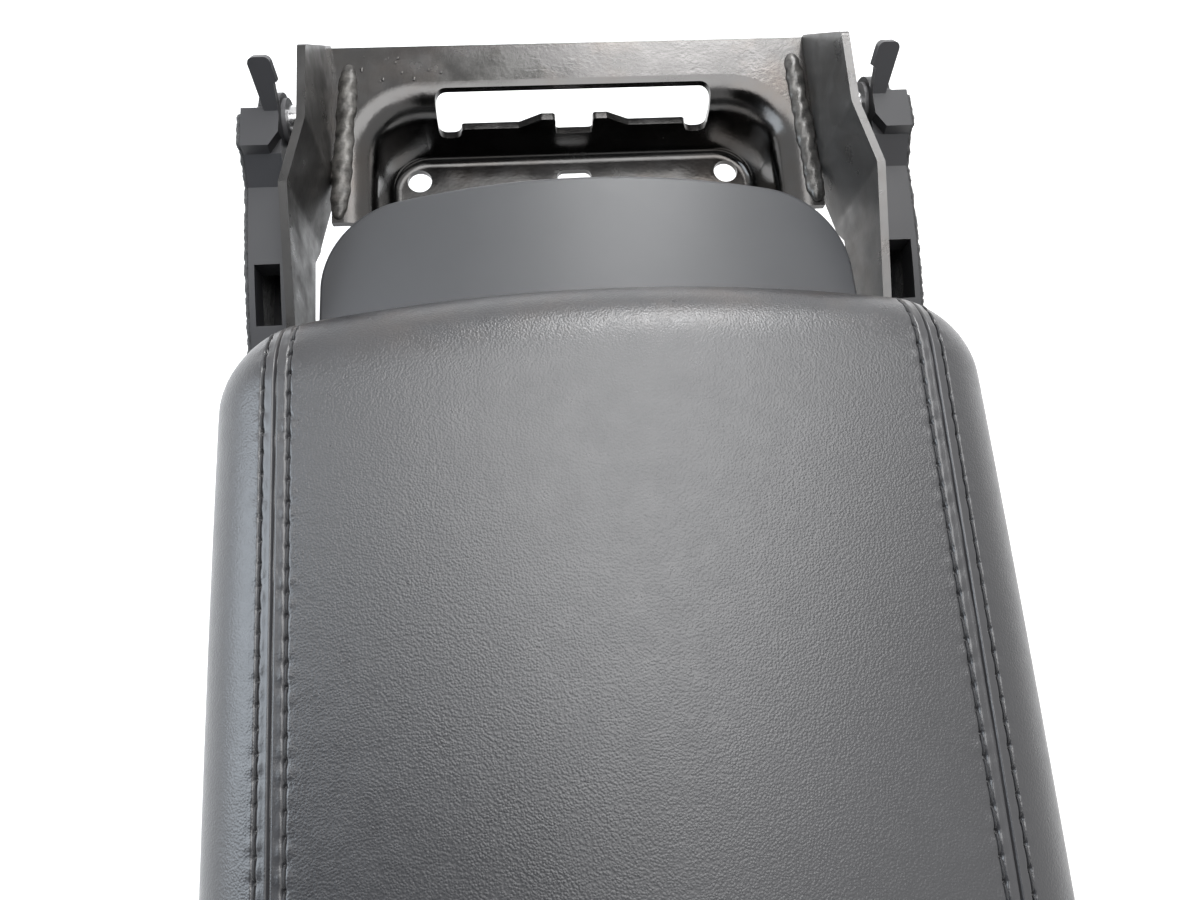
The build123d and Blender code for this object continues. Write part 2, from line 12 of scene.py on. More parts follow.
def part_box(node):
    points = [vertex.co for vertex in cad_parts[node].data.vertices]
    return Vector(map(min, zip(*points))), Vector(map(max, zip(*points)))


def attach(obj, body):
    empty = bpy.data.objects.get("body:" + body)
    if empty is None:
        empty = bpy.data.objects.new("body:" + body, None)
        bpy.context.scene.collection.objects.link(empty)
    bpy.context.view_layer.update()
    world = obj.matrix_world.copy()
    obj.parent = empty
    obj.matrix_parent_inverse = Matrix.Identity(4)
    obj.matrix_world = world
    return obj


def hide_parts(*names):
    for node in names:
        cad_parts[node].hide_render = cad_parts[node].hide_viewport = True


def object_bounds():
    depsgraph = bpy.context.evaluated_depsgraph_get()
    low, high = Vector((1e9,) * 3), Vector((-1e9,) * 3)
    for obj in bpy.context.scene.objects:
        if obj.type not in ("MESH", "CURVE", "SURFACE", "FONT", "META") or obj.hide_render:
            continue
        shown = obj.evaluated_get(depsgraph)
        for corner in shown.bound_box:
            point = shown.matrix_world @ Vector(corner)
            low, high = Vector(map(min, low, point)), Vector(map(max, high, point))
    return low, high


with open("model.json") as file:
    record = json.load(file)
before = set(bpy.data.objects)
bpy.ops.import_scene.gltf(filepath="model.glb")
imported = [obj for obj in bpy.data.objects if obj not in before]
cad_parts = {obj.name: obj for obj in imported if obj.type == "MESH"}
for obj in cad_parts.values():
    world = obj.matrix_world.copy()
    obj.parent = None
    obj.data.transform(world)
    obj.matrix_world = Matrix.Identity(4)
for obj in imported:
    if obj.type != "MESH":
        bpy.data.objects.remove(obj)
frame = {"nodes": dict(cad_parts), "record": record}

bl_info = {
    "name": "Car Centre Armrest",
    "version": (1, 0, 0),
    "blender": (4, 5, 0),
    "location": "View3D > Sidebar > Armrest",
    "description": "Dresses the packed armrest with leather, thread, weld beads, felt and finishes",
    "category": "Object",
}

MM = 0.001
CAD_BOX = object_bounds()
PAD_LOW, PAD_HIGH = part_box("leather_cover")
SIDES = {"left": -1, "right": 1}
RANGE = ("From Min", "From Max", "To Min", "To Max")

# The two arms have one coat with one roughness and one metallic share, tinted as painted shade on
# the left arm and painted light on the right
ARM_PAINTED_SHADES = {"left": 0.65, "right": 2.0}
ARM_SHINE = 0.34
ARM_METAL = 0.75

# Fine shape of the seams, in metres unless it is a share
REFINED_ROWS = ((2.6, True), (1.9, True), (1.35, False))
PRESSED_ROWS = 2.6
ROW_STEP = 0.0004
ROW_TURN = (-6, 90, 90)
LIP_HEIGHT = 0.00006
BAND_HEIGHT = 0.00003
BAND_EDGE = 0.0003
CHANNEL_WIDTH = 0.00036
CHANNEL_DEPTH = 0.0004
HOLE_DEPTH = 0.0007
HOLE_SHARE = 0.1
PUCKER_WIDTH = 0.0014
PUCKER_DEPTH = 0.00008
TINY = 1e-9

# Drops of weld beside the left bead, with their places from the plate's left rear corner
DROPS = 16
DROPS_X = (0.008, 0.030)
DROPS_Y = (0.002, 0.012)

# Place, target and size of each light, in metres
LIGHTS = {
    "softbox": ((0.10, 0.115, 0.70), (0.09, 0.07, 0.05), (0.55, 0.63)),
    "rear_window": ((0.2, 0.765, 0.70), (0.02, 0.025, 0.026), (0.4, 0.4)),
    "side_window": ((-0.7, -0.05, 0.45), (-0.05, -0.1, 0.05), (0.5, 0.6)),
}
FLOOR_SIZE = 60.0
FLOOR_PAINT = (0.85, 0.85, 0.85, 1.0)
FLOOR_SEEN = 0.6
FLOOR_SEEN_FAR = 0.78
FLOOR_RISE = (0.4, 1.4)
CORNER_DIM = (0.80, 0.90, 1.0, 0.02)
WHITE = (1.0, 1.0, 1.0, 1.0)

# Stitch rows by side and end, found while the seams are pressed
SEAM_ROWS = {}


def length(name, millimetres, description):
    """Length property with its default in millimetres."""
    return FloatProperty(
        name=name, description=description, default=millimetres * MM, unit="LENGTH", precision=5
    )


def colour(name, rgb, description):
    """Colour property."""
    return FloatVectorProperty(
        name=name, description=description, default=rgb, size=3, subtype="COLOR", min=0.0, max=1.0
    )


def number(name, value, description):
    """Plain property that can't be negative."""
    return FloatProperty(name=name, description=description, default=value, min=0.0)


def vector(name, value, description, subtype="DIRECTION"):
    """Direction or place."""
    return FloatVectorProperty(name=name, description=description, default=value, subtype=subtype)


class PadSettings(bpy.types.PropertyGroup):
    """Sizes of the leather pad and its seams."""

    roll: length("Edge roll", 17.0, "Radius of the rolled top edge")
    rear_corner: length("Rear corner", 18.0, "Radius of the rear corners before the bow")
    front_corner: length("Front corner", 29.0, "Radius of the front corners before the bow")
    rear_bow: length("Rear bow", 7.0, "How far the rear edge bows out in the middle")
    front_bow: length("Front bow", 12.0, "How far the front edge bows out in the middle")
    crown: length("Crown", 5.2, "Drop of the top from the middle to the sides")
    side_bow: length("Side bow", 1.5, "How far the sides draw in towards the rear")
    hem_roll: length("Hem roll", 3.0, "Radius where the leather turns under")
    hem: length("Hem", 8.0, "Width of the hem under the pad")
    cell: length("Cell", 2.6, "Width of a leather cell before smoothing")
    swell: length("Swell", 1.1, "How far the filled leather may stand out from its pattern")
    seam_inset: length("Seam inset", 17.2, "Distance of the seams from the pad's sides")
    seam_depth: length("Seam depth", 0.9, "Depth of the groove between two panels")
    seam_width: length("Seam width", 0.22, "Half width of the groove")
    row_offset: length("Row offset", 2.7, "Distance of a stitch row from its seam")
    stitch_pitch: length("Stitch pitch", 4.2, "Distance from one stitch to the next")
    stitch_length: length("Stitch length", 3.7, "Length of the thread that shows")
    thread_radius: length("Thread radius", 0.25, "Radius of the sewing thread")
    pressure: number("Filling", 4.0, "Pressure that fills the leather")
    frames: IntProperty(name="Frames", description="Steps of the filling", default=20, min=1)


class ColourSettings(bpy.types.PropertyGroup):
    """Base colours of the finishes."""

    leather: colour("Leather", (0.04, 0.04, 0.0435), "Grained leather")
    scuff: colour("Scuff", (0.11, 0.082, 0.064), "Worn leather along the rear edge")
    thread: colour("Thread", (0.02, 0.02, 0.022), "Sewing thread")
    steel: colour("Coated steel", (0.082, 0.0805, 0.0795), "Dark burnished coating")
    steel_stain: colour("Stain", (0.084, 0.075, 0.068), "Brown cast in the coating")
    weld: colour("Weld", (0.11, 0.105, 0.098), "Weld metal")
    pin: colour("Pin", (0.72, 0.72, 0.73), "Bright plated steel")
    cover: colour("Hinge cover", (0.07, 0.0715, 0.0765), "Smooth grey plastic")
    ear: colour("Ear", (0.036, 0.036, 0.0395), "Satin dark plastic")
    felt: colour("Felt", (0.03, 0.03, 0.031), "Needled felt")
    shell: colour("Shell", (0.045, 0.045, 0.048), "Grained underside plastic")
    rubber: colour("Rubber", (0.022, 0.022, 0.022), "Buffer rubber")
    bush: colour("Bush", (0.12, 0.12, 0.125), "Plain bearing plastic")


class StageSettings(bpy.types.PropertyGroup):
    """Camera and light."""

    eye: vector("Eye", (-0.01609, -0.14440, 0.25053), "Camera place", "TRANSLATION")
    look: vector("Look", (0.06962, 0.23849, -0.96866), "Viewing direction")
    up: vector("Up", (0.05416, 0.96867, 0.24239), "Upward direction in the picture")
    sensor: number("Sensor", 36.0, "Width of the sensor in millimetres")
    lens: number("Lens", 28.2, "Focal length in millimetres")
    key_power: number("Key light", 3.8, "Power of the softbox in watts")
    key_turn: FloatProperty(
        name="Key turn",
        description="Turn of the softbox about its own axis",
        default=math.radians(-28),
        subtype="ANGLE",
    )
    rear_power: number("Rear light", 5.2, "Power of the rear window in watts")
    fill_power: number("Fill light", 3.5, "Power of the side window in watts")
    fill_colour: colour("Fill colour", (0.8, 0.9, 1.0), "Cool light from the side window")
    sky: number("Sky", 0.3, "Strength of the even light from all round")
    corner: vector("Dark corner", (-0.42, -0.53, 0.735), "Direction of the room's dark corner")
    floor_drop: length("Floor", 30.0, "Depth of the floor under the bracket")


# Small helpers for objects

def settings():
    return bpy.context.scene.armrest


def deselect():
    if bpy.context.object and bpy.context.object.mode != "OBJECT":
        bpy.ops.object.mode_set(mode="OBJECT")
    bpy.ops.object.select_all(action="DESELECT")


def activate(piece):
    """Select a piece alone and make it the active one."""
    deselect()
    piece.select_set(True)
    bpy.context.view_layer.objects.active = piece


def added(name):
    """Name the primitive that was just added."""
    piece = bpy.context.object
    piece.name = name
    piece.data.name = name
    return piece


def points_of(piece, kind="co"):
    """Points of a piece, or its normals, as rows."""
    values = np.empty(len(piece.data.vertices) * 3)
    piece.data.vertices.foreach_get(kind, values)
    return values.reshape(-1, 3)


def set_points(piece, points):
    piece.data.vertices.foreach_set("co", np.asarray(points, float).ravel())
    piece.data.update()


def edit(piece, *steps):
    """Run edit mode steps on the whole piece."""
    activate(piece)
    bpy.ops.object.mode_set(mode="EDIT")
    bpy.ops.mesh.select_all(action="SELECT")
    for step in steps:
        step()
    bpy.ops.object.mode_set(mode="OBJECT")


def apply_modifier(piece, kind, **values):
    """Add a modifier, set it and apply it."""
    activate(piece)
    modifier = piece.modifiers.new(kind.title(), kind)
    for key, value in values.items():
        setattr(modifier, key, value)
    bpy.ops.object.modifier_apply(modifier=modifier.name)


def grid(name, columns, rows):
    """Flat grid of cells, to be shaped."""
    deselect()
    bpy.ops.mesh.primitive_grid_add(x_subdivisions=columns, y_subdivisions=rows, size=2.0)
    return added(name)


def finish_piece(piece, material, body, slot, *nodes):
    """Give a piece its material and body, and hide the nodes that it stands for; the slot is not
    used.
    """
    piece.data.materials.clear()
    piece.data.materials.append(material)
    activate(piece)
    bpy.ops.object.shade_smooth()
    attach(piece, body)
    if nodes:
        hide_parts(*nodes)


# Small helpers for materials

def map_range(tree, value, *limits):
    """Map range node from two limits to two others; returns the node."""
    node = tree.nodes.new("ShaderNodeMapRange")
    for key, limit in zip(RANGE, limits):
        node.inputs[key].default_value = limit
    tree.links.new(value, node.inputs["Value"])
    return node


class Finish:
    """A node material on Object coordinates, with short calls for its nodes."""

    def __init__(self, name):
        self.material = bpy.data.materials.new(name)
        self.material.use_nodes = True
        self.tree = self.material.node_tree
        self.shader = self.tree.nodes["Principled BSDF"]
        self.place = self.tree.nodes.new("ShaderNodeTexCoord").outputs["Object"]

    def set(self, **values):
        for key, value in values.items():
            self.shader.inputs[key.replace("_", " ")].default_value = value

    def link(self, output, target):
        socket = self.shader.inputs[target] if isinstance(target, str) else target
        self.tree.links.new(output, socket)

    def noise(self, scale, detail=3.0, roughness=0.55, stretch=None):
        node = self.tree.nodes.new("ShaderNodeTexNoise")
        node.inputs["Scale"].default_value = scale
        node.inputs["Detail"].default_value = detail
        node.inputs["Roughness"].default_value = roughness
        self.link(self.stretched(stretch), node.inputs["Vector"])
        return node.outputs["Fac"]

    def stretched(self, stretch):
        if stretch is None:
            return self.place
        node = self.tree.nodes.new("ShaderNodeMapping")
        node.inputs["Scale"].default_value = stretch
        self.link(self.place, node.inputs["Vector"])
        return node.outputs["Vector"]

    def cells(self, scale, feature="F1"):
        node = self.tree.nodes.new("ShaderNodeTexVoronoi")
        node.feature = feature
        node.inputs["Scale"].default_value = scale
        self.link(self.place, node.inputs["Vector"])
        return node.outputs["Distance"]

    def axis(self, name):
        node = self.tree.nodes.new("ShaderNodeSeparateXYZ")
        self.link(self.place, node.inputs["Vector"])
        return node.outputs[name]

    def spread(self, output, low, high, to_low=0.0, to_high=1.0):
        return map_range(self.tree, output, low, high, to_low, to_high).outputs["Result"]

    def combine(self, first, second, operation="ADD"):
        node = self.tree.nodes.new("ShaderNodeMath")
        node.operation = operation
        for socket, value in zip(node.inputs, (first, second)):
            if isinstance(value, (int, float)):
                socket.default_value = value
            else:
                self.link(value, socket)
        return node.outputs["Value"]

    def vary(self, output, low, high, middle, below, above):
        """Roughness that varies with a texture about its middle value."""
        self.link(self.spread(output, low, high, middle * below, middle * above), "Roughness")

    def shades(self, output, base, dark, light):
        """Two shades of a colour, blended by a texture."""
        return self.blend(output, tint(base, dark), tint(base, light))

    def blend(self, factor, first, second):
        node = self.tree.nodes.new("ShaderNodeMix")
        node.data_type = "RGBA"
        self.link(factor, node.inputs["Factor"])
        for socket, value in zip((node.inputs[6], node.inputs[7]), (first, second)):
            if isinstance(value, bpy.types.NodeSocket):
                self.link(value, socket)
            else:
                socket.default_value = (*value, 1.0)
        return node.outputs[2]

    def bump(self, height, distance, strength=1.0, below=None):
        node = self.tree.nodes.new("ShaderNodeBump")
        node.inputs["Strength"].default_value = strength
        node.inputs["Distance"].default_value = distance
        self.link(height, node.inputs["Height"])
        if below is not None:
            self.link(below, node.inputs["Normal"])
        self.link(node.outputs["Normal"], "Normal")
        return node.outputs["Normal"]


def tint(base, factor):
    """A lighter or darker shade of a colour."""
    return tuple(min(1.0, channel * factor) for channel in base)


# Finishes

def leather_finish():
    colours = settings().colours
    finish = Finish("grained_leather")
    broad = finish.noise(16.0, 4.0)
    base = finish.shades(finish.spread(broad, 0.35, 0.65), colours.leather, 0.9, 1.1)
    rear = finish.spread(finish.axis("Y"), PAD_HIGH.y - 0.020, PAD_HIGH.y - 0.002)
    rubbed = finish.spread(finish.noise(70.0, 6.0, 0.7), 0.46, 0.7)
    worn = finish.combine(finish.combine(rear, rubbed, "MULTIPLY"), 0.5, "MULTIPLY")
    finish.link(finish.blend(worn, base, colours.scuff), "Base Color")
    finish.link(finish.spread(finish.noise(220.0, 4.0), 0.3, 0.7, 0.27, 0.35), "Roughness")
    pebble = finish.spread(finish.cells(2200.0), 0.0, 0.8, 1.0, 0.0)
    fine = finish.noise(5200.0, 2.0)
    grain = finish.combine(pebble, finish.combine(fine, 0.5, "MULTIPLY"))
    seam = seam_place(settings().pad)
    off_seam = finish.combine(finish.combine(finish.axis("X"), 0.0, "ABSOLUTE"), seam, "SUBTRACT")
    loose = finish.spread(finish.combine(off_seam, 0.0, "ABSOLUTE"), 0.0022, 0.0034, 0.35, 1.0)
    soft = finish.bump(finish.noise(60.0, 3.0), 0.0004, 0.12)
    finish.bump(finish.combine(grain, loose, "MULTIPLY"), 0.00006, 0.7, soft)
    finish.set(Specular_IOR_Level=0.92)
    return finish.material


def thread_finish():
    finish = Finish("sewing_thread")
    twist = finish.noise(2400.0, 2.0, 0.5, (1.0, 0.35, 1.0))
    thread = settings().colours.thread
    finish.link(finish.shades(twist, thread, 0.6, 1.8), "Base Color")
    finish.bump(twist, 0.0001, 0.6)
    finish.set(Roughness=0.6, Sheen_Weight=0.2)
    return finish.material


def steel_finish(name, shade, shine, metal):
    """Dark burnished sheet with brown clouds and orange peel; shine is its mean roughness, and
    shade scales the coat's colour, which on the arms is painted shade and painted light.
    """
    colours = settings().colours
    finish = Finish(name)
    cloud = finish.spread(finish.noise(38.0, 5.0, 0.6), 0.48, 0.74)
    coats = [tint(coat, shade) for coat in (colours.steel, colours.steel_stain)]
    finish.link(finish.blend(cloud, *coats), "Base Color")
    finish.vary(finish.noise(130.0, 4.0), 0.3, 0.75, shine, 0.7, 1.5)
    peel = finish.bump(finish.noise(160.0, 2.0), 0.0004, 0.12)
    finish.bump(finish.noise(1100.0, 3.0), 0.00007, 0.4, peel)
    finish.set(Metallic=metal)
    return finish.material


def weld_finish(name, base, roughness, coat):
    finish = Finish(name)
    crust = finish.noise(420.0, 5.0, 0.65)
    finish.link(finish.shades(finish.spread(crust, 0.35, 0.7), base, 0.35, 1.4), "Base Color")
    finish.bump(crust, 0.0005, 0.6)
    finish.set(Metallic=0.4, Roughness=roughness, Coat_Weight=coat, Coat_Roughness=0.15)
    return finish.material


def bright_finish(name, base, roughness):
    finish = Finish(name)
    turned = finish.noise(600.0, 3.0, 0.5, (6.0, 1.0, 1.0))
    finish.vary(turned, 0.3, 0.7, roughness, 0.7, 1.4)
    finish.link(finish.shades(turned, base, 0.85, 1.1), "Base Color")
    finish.set(Metallic=1.0)
    return finish.material


def pin_finish():
    """Bright plating outside the arms; the riveted tail has the arms' coat, with painted shade on
    the left and painted light on the right.
    """
    colours = settings().colours
    finish = Finish("plated_pin")
    outside = finish.combine(finish.axis("X"), 0.0, "ABSOLUTE")
    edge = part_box("bracket_plate")[1].x + 0.0015
    bare = finish.spread(outside, edge, edge + 0.0001)
    turned = finish.noise(600.0, 3.0, 0.5, (6.0, 1.0, 1.0))
    plating = finish.shades(turned, colours.pin, 0.85, 1.1)
    # Each tail takes its arm's painted shade: darker on the left, lighter on the right
    tails = [tint(colours.steel, ARM_PAINTED_SHADES[side]) for side in SIDES]
    coated = finish.blend(finish.spread(finish.axis("X"), -0.001, 0.001), *tails)
    finish.link(finish.blend(bare, coated, plating), "Base Color")
    finish.link(finish.spread(bare, 0.0, 1.0, ARM_SHINE, 0.22), "Roughness")
    finish.link(finish.spread(bare, 0.0, 1.0, ARM_METAL, 1.0), "Metallic")
    return finish.material


def smooth_plastic_finish(name, base, roughness, specks):
    """Satin moulded plastic with fine haze and a few pale specks."""
    finish = Finish(name)
    haze = finish.shades(finish.spread(finish.noise(28.0, 4.0), 0.3, 0.7), base, 0.93, 1.07)
    speck = finish.spread(finish.cells(120.0), 0.035, 0.02)
    chance = finish.spread(finish.noise(60.0, 1.0), 0.62, 0.66)
    dots = finish.combine(finish.combine(speck, chance, "MULTIPLY"), specks, "MULTIPLY")
    finish.link(finish.blend(dots, haze, (0.55, 0.55, 0.55)), "Base Color")
    finish.vary(finish.noise(240.0, 3.0), 0.3, 0.7, roughness, 0.96, 1.05)
    finish.bump(finish.noise(1800.0, 2.0), 0.00003, 0.12)
    finish.set(Specular_IOR_Level=0.5)
    return finish.material


def grained_plastic_finish(name, base, roughness):
    finish = Finish(name)
    grain = finish.cells(1500.0, "SMOOTH_F1")
    finish.link(finish.shades(finish.noise(60.0, 4.0), base, 0.85, 1.2), "Base Color")
    finish.vary(finish.noise(300.0, 3.0), 0.3, 0.7, roughness, 0.9, 1.15)
    finish.bump(grain, 0.00012, 0.4)
    return finish.material


def felt_finish():
    base = settings().colours.felt
    finish = Finish("needled_felt")
    fibre = finish.noise(1500.0, 6.0, 0.75, (1.0, 0.4, 0.5))
    finish.link(finish.shades(finish.spread(fibre, 0.3, 0.75), base, 0.5, 3.0), "Base Color")
    finish.bump(fibre, 0.0006, 0.9)
    finish.set(Roughness=0.95, Sheen_Weight=0.4, Sheen_Roughness=0.6)
    return finish.material


# Leather pad

def seam_place(pad):
    """Distance of a seam from the pad's middle."""
    return (PAD_HIGH.x - PAD_LOW.x) / 2 - pad.seam_inset


def wall_height(pad):
    """Upright part of the pad's side, between the rolled edge and the hem."""
    return PAD_HIGH.z - PAD_LOW.z - pad.roll - pad.hem_roll - pad.swell


def unrolled_width(pad):
    """Length of leather from the flat top round the edge to the end of the hem."""
    return pad.roll * math.pi / 2 + wall_height(pad) + pad.hem_roll * math.pi / 2 + pad.hem


def over_the_edge(pad, reach):
    """Outward and downward travel of the leather at a distance past the flat top."""
    quarter = pad.roll * math.pi / 2
    wall = wall_height(pad)
    under = pad.hem_roll * math.pi / 2
    top = np.clip(reach, 0, quarter) / pad.roll
    side = np.clip(reach - quarter, 0, wall)
    turn = np.clip(reach - quarter - wall, 0, under) / pad.hem_roll
    hem = np.clip(reach - quarter - wall - under, 0, None)
    outward = pad.roll * np.sin(top) - pad.hem_roll * (1 - np.cos(turn)) - hem
    downward = pad.roll * (1 - np.cos(top)) + side + pad.hem_roll * np.sin(turn)
    return outward, downward


def shape_pad(pad, u, v):
    """Lay the flat leather, given by two numbers from -1 to 1, over the pad."""
    half = np.array([(PAD_HIGH.x - PAD_LOW.x) / 2, (PAD_HIGH.y - PAD_LOW.y) / 2]) - pad.swell
    middle = (PAD_HIGH.y + PAD_LOW.y) / 2
    extra = unrolled_width(pad) - pad.roll
    flat = np.stack([u * (half[0] + extra), v * (half[1] + extra)], axis=1)
    corner = np.where(v > 0, pad.rear_corner, pad.front_corner)
    centre = np.clip(flat, -(half - corner[:, None]), half - corner[:, None])
    arm = flat - centre
    reach = corner + extra
    share = arm / reach[:, None]
    disc = arm * np.sqrt(1 - share[:, ::-1] ** 2 / 2)
    distance = np.linalg.norm(disc, axis=1)
    way = disc / np.maximum(distance, TINY)[:, None]
    core = corner - pad.roll
    outward, downward = over_the_edge(pad, np.maximum(distance - core, 0))
    plan = centre + way * (np.minimum(distance, core) + outward)[:, None]
    across = (plan[:, 0] / half[0]) ** 2
    along = plan[:, 1] / half[1]
    bow = np.where(along > 0, -pad.rear_bow, pad.front_bow) * across * along**2
    plan[:, 0] *= 1 - pad.side_bow / half[0] * np.maximum(along, 0) ** 2
    rise = np.clip(1 - downward / (PAD_HIGH.z - PAD_LOW.z), 0, 1)
    height = PAD_HIGH.z - pad.swell - downward - pad.crown * across * rise
    overhang = pad.swell * np.maximum(along, 0) * rise
    return np.stack([plan[:, 0], middle + plan[:, 1] + bow + overhang, height], axis=1)


def fill_leather(piece, pad):
    """Blow the leather up against its seams and hem, then cap how far it stands out."""
    rest = points_of(piece)
    seam = seam_place(pad)
    near_seam = np.abs(np.abs(rest[:, 0]) - seam) < pad.cell * 0.8
    near_hem = rest[:, 2] < PAD_LOW.z + pad.hem_roll * 2
    held = piece.vertex_groups.new(name="held")
    held.add([int(i) for i in np.flatnonzero(near_seam | near_hem)], 1.0, "REPLACE")
    cloth = piece.modifiers.new("Filling", "CLOTH")
    cloth.settings.quality = 5
    cloth.settings.mass = 0.25
    cloth.settings.use_pressure = True
    cloth.settings.uniform_pressure_force = pad.pressure
    cloth.settings.vertex_group_mass = held.name
    cloth.settings.effector_weights.gravity = 0.0
    for step in range(1, pad.frames + 1):
        bpy.context.scene.frame_set(step)
    activate(piece)
    bpy.ops.object.modifier_apply(modifier=cloth.name)
    bpy.context.scene.frame_set(1)
    move = points_of(piece) - rest
    distance = np.linalg.norm(move, axis=1)[:, None]
    capped = pad.swell * np.tanh(distance / pad.swell)
    set_points(piece, rest + move / np.maximum(distance, TINY) * capped)
    piece.vertex_groups.clear()


def row_line(tree, x, pad):
    """Points and normals along the leather at one distance from the middle, from hem to hem."""
    low = PAD_LOW.z + pad.hem_roll * 2
    rear = PAD_HIGH.y - pad.rear_corner
    front = PAD_LOW.y + pad.front_corner
    turn = np.radians(np.linspace(*ROW_TURN))
    rays = [((x, rear, low), (0, math.cos(a), math.sin(a))) for a in turn]
    rays += [((x, y, low), (0, 0, 1)) for y in np.arange(rear - ROW_STEP, front, -ROW_STEP)]
    rays += [((x, front, low), (0, -math.cos(a), math.sin(a))) for a in turn[::-1]]
    hits = [tree.ray_cast(Vector(start), Vector(way)) for start, way in rays]
    places = np.array([hit[0] for hit in hits if hit[0] is not None])
    normals = np.array([hit[1] for hit in hits if hit[0] is not None])
    run = np.concatenate([[0], np.cumsum(np.linalg.norm(np.diff(places, axis=0), axis=1))])
    return places, normals, run


def surface_tree(piece):
    """Faces of a piece, ready for ray casts."""
    points = [vertex.co for vertex in piece.data.vertices]
    faces = [polygon.vertices[:] for polygon in piece.data.polygons]
    return BVHTree.FromPolygons(points, faces, epsilon=1e-7)


def refine_seams(piece, pad):
    """Cut the leather finer along the two seams, the last time across them only."""
    seam = seam_place(pad)
    floor = PAD_LOW.z + pad.hem_roll
    for reach, lengthwise in REFINED_ROWS:
        points = points_of(piece)
        ends = np.empty(len(piece.data.edges) * 2, int)
        piece.data.edges.foreach_get("vertices", ends)
        first, second = points[ends.reshape(-1, 2)].transpose(1, 0, 2)
        middle = (first + second) / 2
        near = np.abs(np.abs(middle[:, 0]) - seam) < pad.row_offset * reach
        near &= middle[:, 2] > floor
        if not lengthwise:
            step = np.abs(second - first)
            near &= step[:, 0] > step[:, 1:].max(axis=1)
        edit(
            piece,
            lambda: bpy.ops.mesh.select_mode(type="EDGE"),
            lambda: bpy.ops.mesh.select_all(action="DESELECT"),
        )
        piece.data.edges.foreach_set("select", near)
        activate(piece)
        bpy.ops.object.mode_set(mode="EDIT")
        bpy.ops.mesh.subdivide(number_cuts=1, smoothness=0.0)
        bpy.ops.object.mode_set(mode="OBJECT")


def nearest_phase(points, places, run, pitch):
    """Share of a stitch, from 0 to 1, at the row point nearest to each point."""
    order = np.argsort(places[:, 1])
    index = np.clip(np.searchsorted(places[order, 1], points[:, 1]), 0, len(order) - 1)
    rough = order[index]
    best = rough.copy()
    gap = np.full(len(points), np.inf)
    for shift in range(-40, 41, 2):
        trial = np.clip(rough + shift, 0, len(places) - 1)
        distance = np.linalg.norm(points - places[trial], axis=1)
        better = distance < gap
        best[better] = trial[better]
        gap[better] = distance[better]
    return (run[best] / pitch) % 1.0


def press_seams(piece, pad):
    """Press the groove, the folded edges and the stitch rows into the leather."""
    seam = seam_place(pad)
    floor = PAD_LOW.z + pad.hem_roll
    tree = surface_tree(piece)
    points = points_of(piece)
    normals = points_of(piece, "normal")
    depth = np.zeros(len(points))
    for side in SIDES.values():
        near = np.abs(points[:, 0] * side - seam) < pad.row_offset * PRESSED_ROWS
        near &= points[:, 2] > floor
        chosen = points[near]
        facing = np.sqrt(np.maximum(1 - normals[near, 0] ** 2, 0.05))
        across = (chosen[:, 0] * side - seam) / facing
        press = -pad.seam_depth * np.exp(-((across / pad.seam_width) ** 2))
        lip = np.exp(-(((np.abs(across) - pad.seam_width * 2.6) / (pad.seam_width * 1.6)) ** 2))
        band = 0.5 - 0.5 * np.tanh((np.abs(across) - pad.row_offset * 0.86) / BAND_EDGE)
        press += LIP_HEIGHT * lip + BAND_HEIGHT * band
        for end in (-1, 1):
            x = side * (seam + end * pad.row_offset)
            places, facings, run = row_line(tree, x, pad)
            SEAM_ROWS[(side, end)] = (places, facings, run)
            phase = nearest_phase(chosen, places, run, pad.stitch_pitch)
            off_row = across - end * pad.row_offset
            channel = np.exp(-((off_row / CHANNEL_WIDTH) ** 2))
            hole = np.exp(-((np.minimum(phase, 1 - phase) / HOLE_SHARE) ** 2))
            press -= channel * (CHANNEL_DEPTH + HOLE_DEPTH * hole)
            uneven = 1 + 0.6 * np.sin(chosen[:, 1] * 410 + 3 * end + side)
            pucker = np.cos(2 * math.pi * phase) * np.exp(-((off_row / PUCKER_WIDTH) ** 2))
            press -= PUCKER_DEPTH * uneven * pucker
        depth[near] = press
    set_points(piece, points + normals * depth[:, None])


class ARMREST_OT_leather_pad(bpy.types.Operator):
    """Model the leather pad: lay the leather over the pad, fill it and press its seams"""

    bl_idname = "armrest.leather_pad"
    bl_label = "Leather pad"

    def execute(self, context):
        pad = settings().pad
        reach = unrolled_width(pad) - pad.roll
        columns = round((PAD_HIGH.x - PAD_LOW.x + 2 * reach) / pad.cell)
        rows = round((PAD_HIGH.y - PAD_LOW.y + 2 * reach) / pad.cell)
        piece = grid("leather_pad", columns, rows)
        flat = points_of(piece)
        set_points(piece, shape_pad(pad, flat[:, 0], flat[:, 1]))
        edit(piece, lambda: bpy.ops.mesh.normals_make_consistent(inside=False))
        fill_leather(piece, pad)
        apply_modifier(piece, "SUBSURF", levels=1, render_levels=1)
        refine_seams(piece, pad)
        press_seams(piece, pad)
        edit(
            piece,
            lambda: bpy.ops.mesh.select_mode(type="EDGE"),
            lambda: bpy.ops.mesh.select_all(action="DESELECT"),
            lambda: bpy.ops.mesh.select_non_manifold(),
            lambda: bpy.ops.mesh.edge_face_add(),
            lambda: bpy.ops.mesh.select_all(action="SELECT"),
            lambda: bpy.ops.mesh.normals_make_consistent(inside=False),
        )
        finish_piece(piece, leather_finish(), "armrest", "leather", "leather_cover", "foam_pad")
        return {"FINISHED"}


# Stitches

